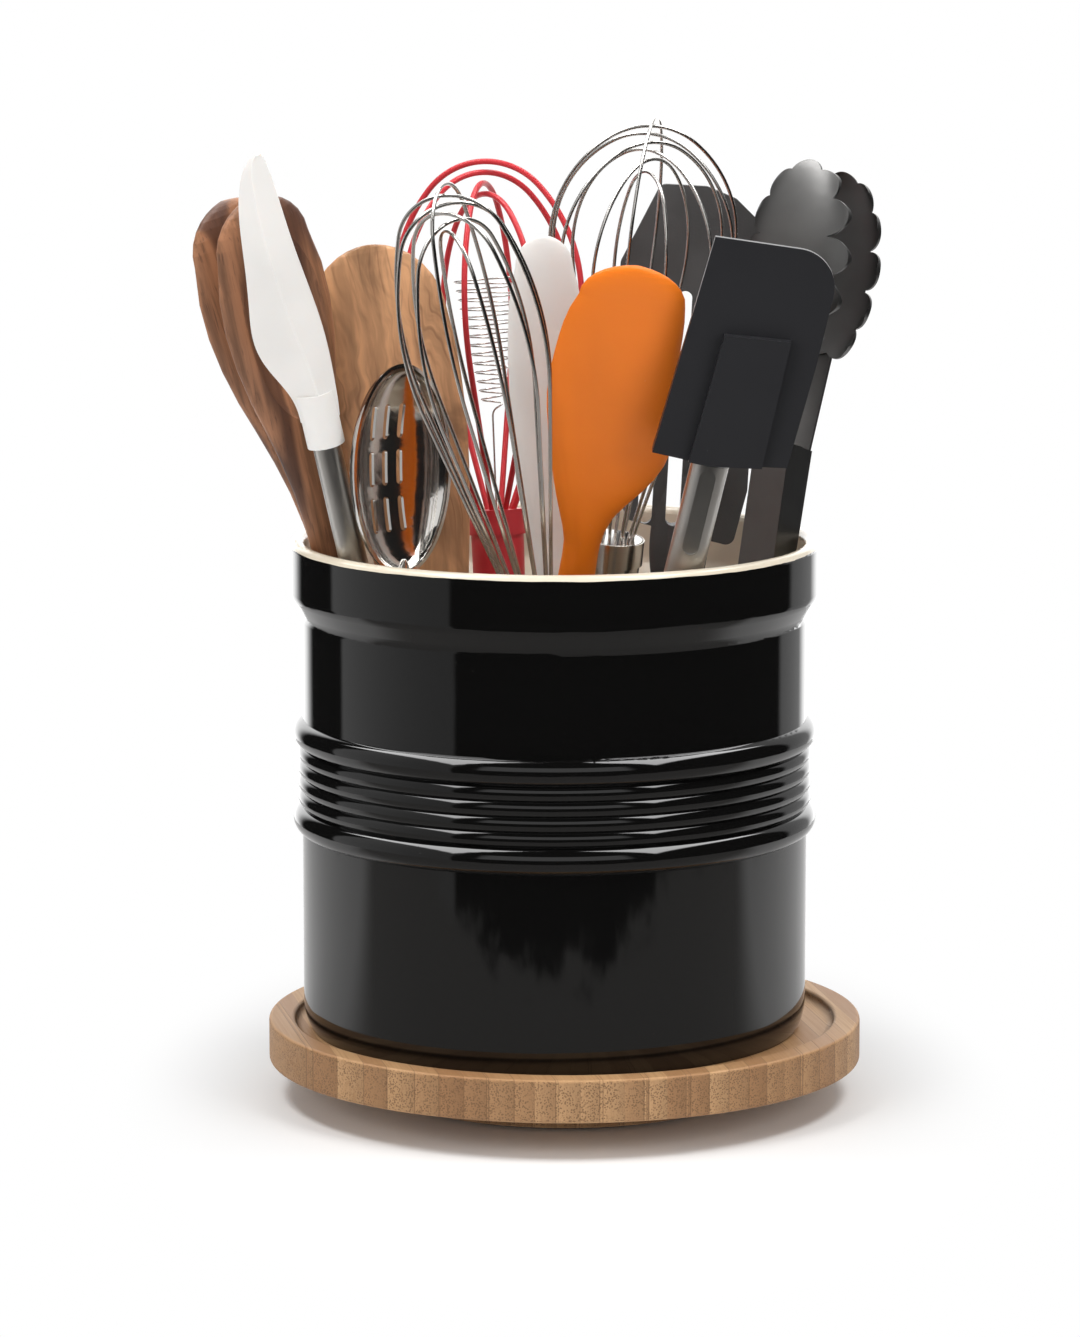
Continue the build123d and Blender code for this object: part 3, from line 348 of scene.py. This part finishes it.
def bamboo(bench, wood):
    """Glued strips with a seam between them: fibres on flat faces and pores on the cut edge."""
    position = bench.place()
    run = Vector((math.cos(STRIP_TURN), -math.sin(STRIP_TURN), 0))
    side = Vector((-run.y, run.x, 0))
    across = bench.along(position, side) / wood.strip_width
    along = bench.along(position, run)
    height = bench.along(position, UP)
    jitter = bench.scatter(across.floor() + 17.0)
    column = across + (jitter - 0.5) * 0.28
    strip = column.floor()
    tone = bench.scatter(strip)
    within = column - strip
    seam = abs(within - 0.5).step(0.462, 0.5)
    flat = abs(bench.along(bench.node("ShaderNodeTexCoord", output="Normal"), UP)).step(0.35, 0.75)
    edge = 1 - flat
    fibres = bench.noise(bench.vector(across * 9.0, along * 22.0, height * 260.0), 1.0, 5.0, 0.65)
    streaks = bench.noise(
        bench.vector(across * 26.0, along * 9.0, height * 90.0 + tone * 9.0), 1.0, 3.0
    )
    grade = bench.noise(bench.vector(across * 0.35, along * 3.0, 0.0), 1.0, 2.0)
    pores = (bench.cells(position, 1500.0, 0.9) < 0.40) * edge
    pores = pores * bench.noise(position, 220.0).step(0.25, 0.55)
    light, dark = wood.bamboo_light, wood.bamboo_dark
    body = bench.mix((tone * 0.62 + grade * 0.5).step(0.12, 0.95), light, dark)
    body = bench.mix(fibres.step(0.42, 0.72) * 0.42, body, dark)
    body = bench.mix(streaks.step(0.56, 0.74) * flat * 0.5, body, dark)
    body = bench.mix(pores * 0.7, body, shade(dark, 0.42))
    body = bench.mix(seam * 0.62, body, shade(dark, 0.5))
    # Painted shade: the side faces of the tray and base are darkened, most towards one side of each
    # strip, so they look less lit than the top
    body = bench.mix(edge * within * 0.42, body, shade(dark, 0.5))
    return {
        "Base Color": body,
        "Roughness": 0.46 + 0.2 * fibres,
        "Normal": bench.bump(fibres * 0.5 - pores * 0.5 - seam * 0.6, 0.12 * MM, 0.8),
    }


def teak(bench, wood, tool):
    """Brown teak with dark streaks that follow the spoon and fine open pores."""
    width, depth, along = tool_place(bench, tool)
    bend = bench.noise(bench.vector(width, depth, along / 3.0), 24.0, 2.0)
    bands = bench.noise(
        bench.vector(width * 1.6 + bend * 9 * MM, depth, along / 16.0), 170.0, 4.0, 0.6
    )
    broad = bench.noise(bench.vector(width + bend * 12 * MM, depth, along / 9.0), 62.0, 2.0)
    pores = bench.noise(bench.vector(width, depth, along / 18.0), 1500.0, 2.0).step(0.60, 0.72)
    body = bench.mix(bands.step(0.38, 0.66), wood.teak_light, shade(wood.teak_light, 0.44))
    body = bench.mix(broad.step(0.50, 0.62) * 0.85, body, wood.teak_dark)
    body = bench.mix(pores * 0.45, body, wood.teak_dark)
    return {
        "Base Color": body,
        "Roughness": 0.42 + 0.18 * bands,
        "Normal": bench.bump(bands * 0.4 - pores * 0.5, 0.10 * MM, 0.8),
    }


def olive(bench, wood, tool):
    """Golden olive wood with thin wandering dark lines and cloudy brown figure."""
    width, depth, along = tool_place(bench, tool)
    drift = bench.noise(bench.vector(width, depth, along / 2.0), 26.0, 3.0, 0.55, 0.8)
    swirl = width * 1.1 + drift * 30 * MM
    bands = bench.noise(bench.vector(swirl, depth, along / 9.0), 150.0, 5.0, 0.62, 0.4)
    cloud = bench.noise(bench.vector(swirl * 0.7, depth, along / 2.4), 38.0, 4.0, 0.62, 1.4)
    rings = (swirl + depth * 0.7 + along * 0.03 + bands * 3.0 * MM).waves(2.1 * MM)
    patches = bench.noise(bench.place(), 30.0, 2.0).step(0.42, 0.62)
    line = (1 - rings.step(0.0, 0.28)) * patches
    fine = bench.noise(bench.vector(width, depth, along / 16.0), 420.0, 3.0)
    light = wood.olive_light
    body = bench.mix(bands.step(0.36, 0.66), light, shade(light, 0.66))
    body = bench.mix(cloud.step(0.47, 0.64) * 0.74, body, shade(light, 0.34))
    body = bench.mix(line * 0.42, body, wood.olive_dark)
    body = bench.mix(fine.step(0.45, 0.7) * 0.22, body, wood.olive_dark)
    return {
        "Base Color": body,
        "Roughness": 0.40 + 0.16 * fine,
        "Normal": bench.bump(fine * 0.4 - line * 0.2, 0.08 * MM, 0.7),
    }


def beech(bench, wood, tool):
    """Plain pale wood with short flecks."""
    width, depth, along = tool_place(bench, tool)
    fine = bench.noise(bench.vector(width, depth, along / 12.0), 520.0, 3.0)
    flecks = bench.noise(bench.vector(width, depth, along / 7.0), 900.0, 1.0).step(0.62, 0.72)
    body = bench.mix(fine.step(0.35, 0.7), wood.beech, shade(wood.beech, 0.7))
    body = bench.mix(flecks * 0.5, body, shade(wood.beech, 0.4))
    return {
        "Base Color": body,
        "Roughness": 0.45 + 0.15 * fine,
        "Normal": bench.bump(fine, 0.08 * MM, 0.6),
    }


def silicone(bench, tint, shine, glow):
    """Moulded silicone: an even tint with faint clouding, a soft skin and a little dust."""
    position = bench.place()
    cloud = bench.noise(position, 30.0, 2.0)
    skin = bench.noise(position, 900.0, 2.0)
    dust = (bench.cells(position, 380.0) < 0.07) * (bench.noise(position, 75.0) > 0.62)
    dusty = [min(1.0, part * 0.8 + 0.12) for part in tint]
    body = bench.mix(cloud.step(0.25, 0.8), tint, shade(tint, 0.88))
    return {
        "Base Color": bench.mix(dust * 0.5, body, dusty),
        "Roughness": shine + 0.10 * cloud + 0.2 * dust,
        "Normal": bench.bump(skin + dust * 0.6, 0.03 * MM, 0.5),
        "Subsurface Weight": glow,
        "Subsurface Radius": (1.0, 0.8, 0.7),
        "Subsurface Scale": 1.5 * MM,
    }


def nylon(bench, tint):
    """Moulded plastic with a fine matt grain and paler, duller patches of wear."""
    position = bench.place()
    grain = bench.noise(position, 1400.0, 2.0)
    wear = bench.noise(position, 40.0, 3.0)
    return {
        "Base Color": bench.mix(wear.step(0.3, 0.8), tint, shade(tint, 1.35)),
        "Roughness": 0.42 + 0.16 * wear,
        "Normal": bench.bump(grain, 0.05 * MM, 0.7),
    }


def steel(bench, tint, direction, shine, draw, depth):
    """Steel with drawing lines along one direction; draw is how strong they are."""
    position = bench.place()
    other = ASIDE if abs(direction.x) < 0.7 else UP
    across = direction.cross(other).normalized()
    through = direction.cross(across)
    stretched = bench.vector(
        bench.along(position, across),
        bench.along(position, through),
        bench.along(position, direction) * 0.03,
    )
    lines = bench.noise(stretched, 2600.0, 3.0, 0.6)
    smear = bench.noise(position, 55.0, 3.0)
    return {
        "Base Color": bench.mix(smear.step(0.3, 0.8), tint, shade(tint, 0.86)),
        "Metallic": 1.0,
        "Roughness": shine + draw * lines + 0.05 * smear,
        "Normal": bench.bump(lines, depth, 0.6),
    }


class CROCK_OT_bamboo(Operator):
    """Bamboo tray and base of the turntable"""

    bl_idname = "crock.bamboo"
    bl_label = "Bamboo tray and base"

    def execute(self, context):
        dress(finish_of("bamboo", bamboo, context.scene.crock_woods), "tray", "base_disc")
        return {"FINISHED"}


class CROCK_OT_bearing(Operator):
    """Races, balls, cage, screws and rubber foot under the tray"""

    bl_idname = "crock.bearing"
    bl_label = "Bearing and foot"

    def execute(self, context):
        tools = context.scene.crock_tools
        plate = finish_of("bearing_plate", steel, tools.steel, UP, *PLATED)
        dress(plate, "lower_race", "upper_race", "bearing_balls", "base_screws", "tray_screws")
        dress(finish_of("cage_plastic", nylon, tools.cage), "ball_cage")
        dress(finish_of("foot_rubber", silicone, tools.rubber, *FOOT_SKIN), "rubber_foot")
        return {"FINISHED"}


class CROCK_OT_pot(Operator):
    """Glaze of the crock"""

    bl_idname = "crock.pot"
    bl_label = "Crock"

    def execute(self, context):
        dress(finish_of("black_glaze", glaze, context.scene.crock_glaze), "crock")
        return {"FINISHED"}


class CROCK_OT_wooden_tools(Operator):
    """Two teak spoons, the olive wood spatula and the wooden handle"""

    bl_idname = "crock.wooden_tools"
    bl_label = "Wooden tools"

    def execute(self, context):
        wood = context.scene.crock_woods
        for name, recipe, tool, piece in (
            ("back_teak_spoon_teak", teak, "back_teak_spoon", "back_teak_spoon"),
            ("front_teak_spoon_teak", teak, "front_teak_spoon", "front_teak_spoon"),
            ("olive_wood", olive, "olive_spatula", "olive_spatula"),
            ("beech", beech, "spoonula", "spoonula_handle"),
        ):
            dress(finish_of(name, recipe, wood, tool), piece)
        return {"FINISHED"}


class CROCK_OT_silicone_tools(Operator):
    """Silicone heads, caps and the nylon turner"""

    bl_idname = "crock.silicone_tools"
    bl_label = "Silicone and nylon tools"

    def execute(self, context):
        tools = context.scene.crock_tools
        for name, tint, skin, pieces in (
            ("white_silicone", tools.white, WHITE_SKIN, ("scraper_head", "jar_spatula_blade")),
            ("orange_silicone", tools.orange, ORANGE_SKIN, ("spoonula_blade",)),
            (
                "red_silicone", tools.red, RED_SKIN,
                ("red_whisk_wires", "red_whisk_handle", "red_whisk_ferrule"),
            ),
            ("black_silicone", tools.black, BLACK_SKIN, ("black_spatula_blade", "scraper_cap")),
        ):
            dress(finish_of(name, silicone, tint, *skin), *pieces)
        dress(finish_of("black_nylon", nylon, tools.nylon), "turner")
        return {"FINISHED"}


class CROCK_OT_whisks(Operator):
    """Steel wires, handles and ferrules of the whisks"""

    bl_idname = "crock.whisks"
    bl_label = "Whisks"

    def execute(self, context):
        tint = context.scene.crock_tools.steel
        for tool, wires in (
            ("french_whisk", "french_whisk_wires"),
            ("balloon_whisk", "balloon_whisk_wires"),
            ("red_whisk", "red_whisk_coil"),
        ):
            dress(finish_of(tool + "_wire", steel, tint, upright(tool), *WIRE), wires)
        for tool in ("french_whisk", "balloon_whisk"):
            bright = finish_of(tool + "_steel", steel, tint, upright(tool), *BRIGHT)
            dress(bright, tool + "_handle", tool + "_ferrule")
        return {"FINISHED"}


class CROCK_OT_steel_tools(Operator):
    """Slotted spoon, steel handles and the tongs"""

    bl_idname = "crock.steel_tools"
    bl_label = "Steel tools"

    def execute(self, context):
        tools = context.scene.crock_tools
        for name, tint, tool, look, pieces in (
            ("scraper_satin", tools.steel, "scraper", SATIN, ("scraper_tube",)),
            ("jar_spatula_satin", tools.steel, "jar_spatula", SATIN, ("jar_spatula_rod",)),
            ("black_spatula_satin", tools.steel, "black_spatula", SATIN, ("black_spatula_handle",)),
            ("mirror_steel", tools.steel, "slotted_spoon", MIRROR, ("slotted_spoon",)),
            (
                "dark_steel", tools.dark_steel, "tongs", DARKENED,
                ("tongs_rear_arm", "tongs_front_arm"),
            ),
            ("pin_steel", tools.steel, "tongs", PIN, ("tongs_pin", "tongs_spring")),
        ):
            dress(finish_of(name, steel, tint, upright(tool), *look), *pieces)
        return {"FINISHED"}


def link(thing, name):
    """A new object in the scene for a mesh, lamp or camera."""
    made = bpy.data.objects.new(name, thing)
    bpy.context.scene.collection.objects.link(made)
    return made


def softbox(name, side, place, size, power):
    """A rectangular lamp on one side, which doesn't show in polished surfaces."""
    lamp = bpy.data.lights.new(name, "AREA")
    lamp.shape = "RECTANGLE"
    lamp.size, lamp.size_y = size
    lamp.energy = power
    made = link(lamp, name)
    made.visible_glossy = False
    made.location = (side * place[0], place[1], place[2])
    towards = Vector(LAMP_TARGET) - Vector(made.location)
    made.rotation_euler = towards.to_track_quat("-Z", "Y").to_euler()


def paint_sky(bench, level):
    """White to the camera. Gloss sees a dark studio: a softbox on the left, two strips overhead,
    one high in front, and white behind. aside, back and up are the parts of a direction."""
    aside, back, up = bench.parts(bench.node("ShaderNodeTexCoord", output="Generated"))
    off = abs(aside)
    turned = back / ((aside * aside + back * back + 0.0001) ** 0.5)
    left = (aside < 0.0) * turned.band((-0.71, -0.68), (0.36, 0.42))
    left = left * up.band((-0.5, -0.4), (0.72, 0.80)) * (0.40 + 0.26 * turned.step(-0.7, 0.3))
    right = (aside > 0.0) * turned.step(0.52, 0.60) * 0.55
    behind = turned.step(0.80, 0.93) * 2.1
    front = (1 - turned.step(-0.86, -0.80)) * up.band((0.16, 0.20), (0.62, 0.66)) * 0.95
    overhead = off.band((0.07, 0.14), (0.60, 0.66)) * (up > 0.5)
    overhead = overhead * (back + off * 0.9).step(0.0, 0.06)
    overhead = overhead * (1 - (back - off * 0.75).step(0.02, 0.08)) * 9.0
    gloss = left.either(right).either(behind).either(front).either(overhead) + 0.016
    camera, mirror, through = bench.rays("Camera", "Glossy", "Transmission")
    strength = level + mirror * (gloss - level)
    strength = strength + camera.either(through) * (1 - strength)
    sky = bench.node("ShaderNodeBackground", None, {"Color": WHITE, "Strength": strength})
    bench.end("ShaderNodeOutputWorld", sky)


def paint_floor(bench):
    """Pale paper with the crock's shadow, and pure white beyond it. Gloss sees only the part near
    the crock, up to a ragged edge, and in front of it an even glow."""
    position = bench.place()
    aside, back, _ = bench.parts(position)
    distance = (aside * aside + back * back) ** 0.5
    wide = aside / 0.54
    spread = (wide * wide + back * back) ** 0.5
    camera, mirror = bench.rays("Camera", "Glossy")
    ragged = bench.noise(position, 11.0, 5.0, 0.62) * 0.34
    beyond = (distance + ragged).step(0.68, 0.76).either(1 - (back + ragged).step(-0.20, -0.14))
    paper = bench.node("ShaderNodeBsdfDiffuse", None, {"Color": (0.93, 0.925, 0.92, 1)})
    white = bench.node("ShaderNodeEmission", None, {"Color": WHITE, "Strength": 1.0})
    glow = bench.node("ShaderNodeEmission", None, {"Color": (1, 0.97, 0.94, 1), "Strength": 0.38})
    nothing = bench.node("ShaderNodeBsdfTransparent", None, {"Color": WHITE})
    seen = bench.mix_shader(camera * spread.step(0.15, 0.27), paper, white)
    near = bench.mix_shader(mirror * (1 - back.step(-0.06, 0.02)), seen, glow)
    whole = bench.mix_shader(mirror * beyond, near, nothing)
    bench.end("ShaderNodeOutputMaterial", whole)


class CROCK_OT_stage(Operator):
    """Floor, lamps, sky and camera"""

    bl_idname = "crock.stage"
    bl_label = "Studio"

    def execute(self, context):
        scene = context.scene
        studio = scene.crock_studio
        corners = [
            (x * FLOOR_HALF, y * FLOOR_HALF, 0) for x, y in ((-1, -1), (1, -1), (1, 1), (-1, 1))
        ]
        mesh = bpy.data.meshes.new("floor")
        mesh.from_pydata(corners, [], [(0, 1, 2, 3)])
        floor = link(mesh, "floor")
        paper = bpy.data.materials.new("floor_paper")
        paper.use_nodes = True
        paint_floor(Bench(paper.node_tree))
        mesh.materials.append(paper)
        for side in (-1, 1):
            softbox(f"overhead_{side}", side, power=studio.key_power, **OVERHEAD)
            softbox(f"side_{side}", side, power=studio.fill_power, **SIDE_FILL)
        scene.world = bpy.data.worlds.new("studio")
        scene.world.use_nodes = True
        paint_sky(Bench(scene.world.node_tree), studio.sky_level)
        camera = bpy.data.cameras.new("camera")
        camera.lens = studio.lens
        camera.sensor_width = SENSOR_WIDTH
        camera.clip_end = FARTHEST
        made = link(camera, "camera")
        made.location = CAMERA_PLACE
        made.rotation_euler = (math.radians(90) - CAMERA_DOWN, 0, 0)
        scene.camera = made
        scene.view_settings.view_transform = "Standard"
        return {"FINISHED"}


class CROCK_PT_panel(Panel):
    bl_label = "Utensil Crock"
    bl_idname = "CROCK_PT_panel"
    bl_space_type = "VIEW_3D"
    bl_region_type = "UI"
    bl_category = "Crock"

    def draw(self, context):
        for name in SETTINGS:
            box = self.layout.box()
            settings = getattr(context.scene, name)
            for key in settings.__annotations__:
                box.prop(settings, key)
        for step in STEPS:
            self.layout.operator(step.bl_idname)


SETTINGS = {
    "crock_glaze": CrockFinish,
    "crock_woods": WoodFinish,
    "crock_tools": ToolFinish,
    "crock_studio": StudioSettings,
}
STEPS = (
    CROCK_OT_bamboo,
    CROCK_OT_bearing,
    CROCK_OT_pot,
    CROCK_OT_wooden_tools,
    CROCK_OT_silicone_tools,
    CROCK_OT_whisks,
    CROCK_OT_steel_tools,
    CROCK_OT_stage,
)


def register():
    for name, group in SETTINGS.items():
        bpy.utils.register_class(group)
        setattr(bpy.types.Scene, name, PointerProperty(type=group))
    for step in (*STEPS, CROCK_PT_panel):
        bpy.utils.register_class(step)


def unregister():
    for step in (CROCK_PT_panel, *reversed(STEPS)):
        bpy.utils.unregister_class(step)
    for name, group in SETTINGS.items():
        delattr(bpy.types.Scene, name)
        bpy.utils.unregister_class(group)


def main():
    register()
    for step in STEPS:
        group, name = step.bl_idname.split(".")
        getattr(getattr(bpy.ops, group), name)()


if __name__ == "__main__":
    main()
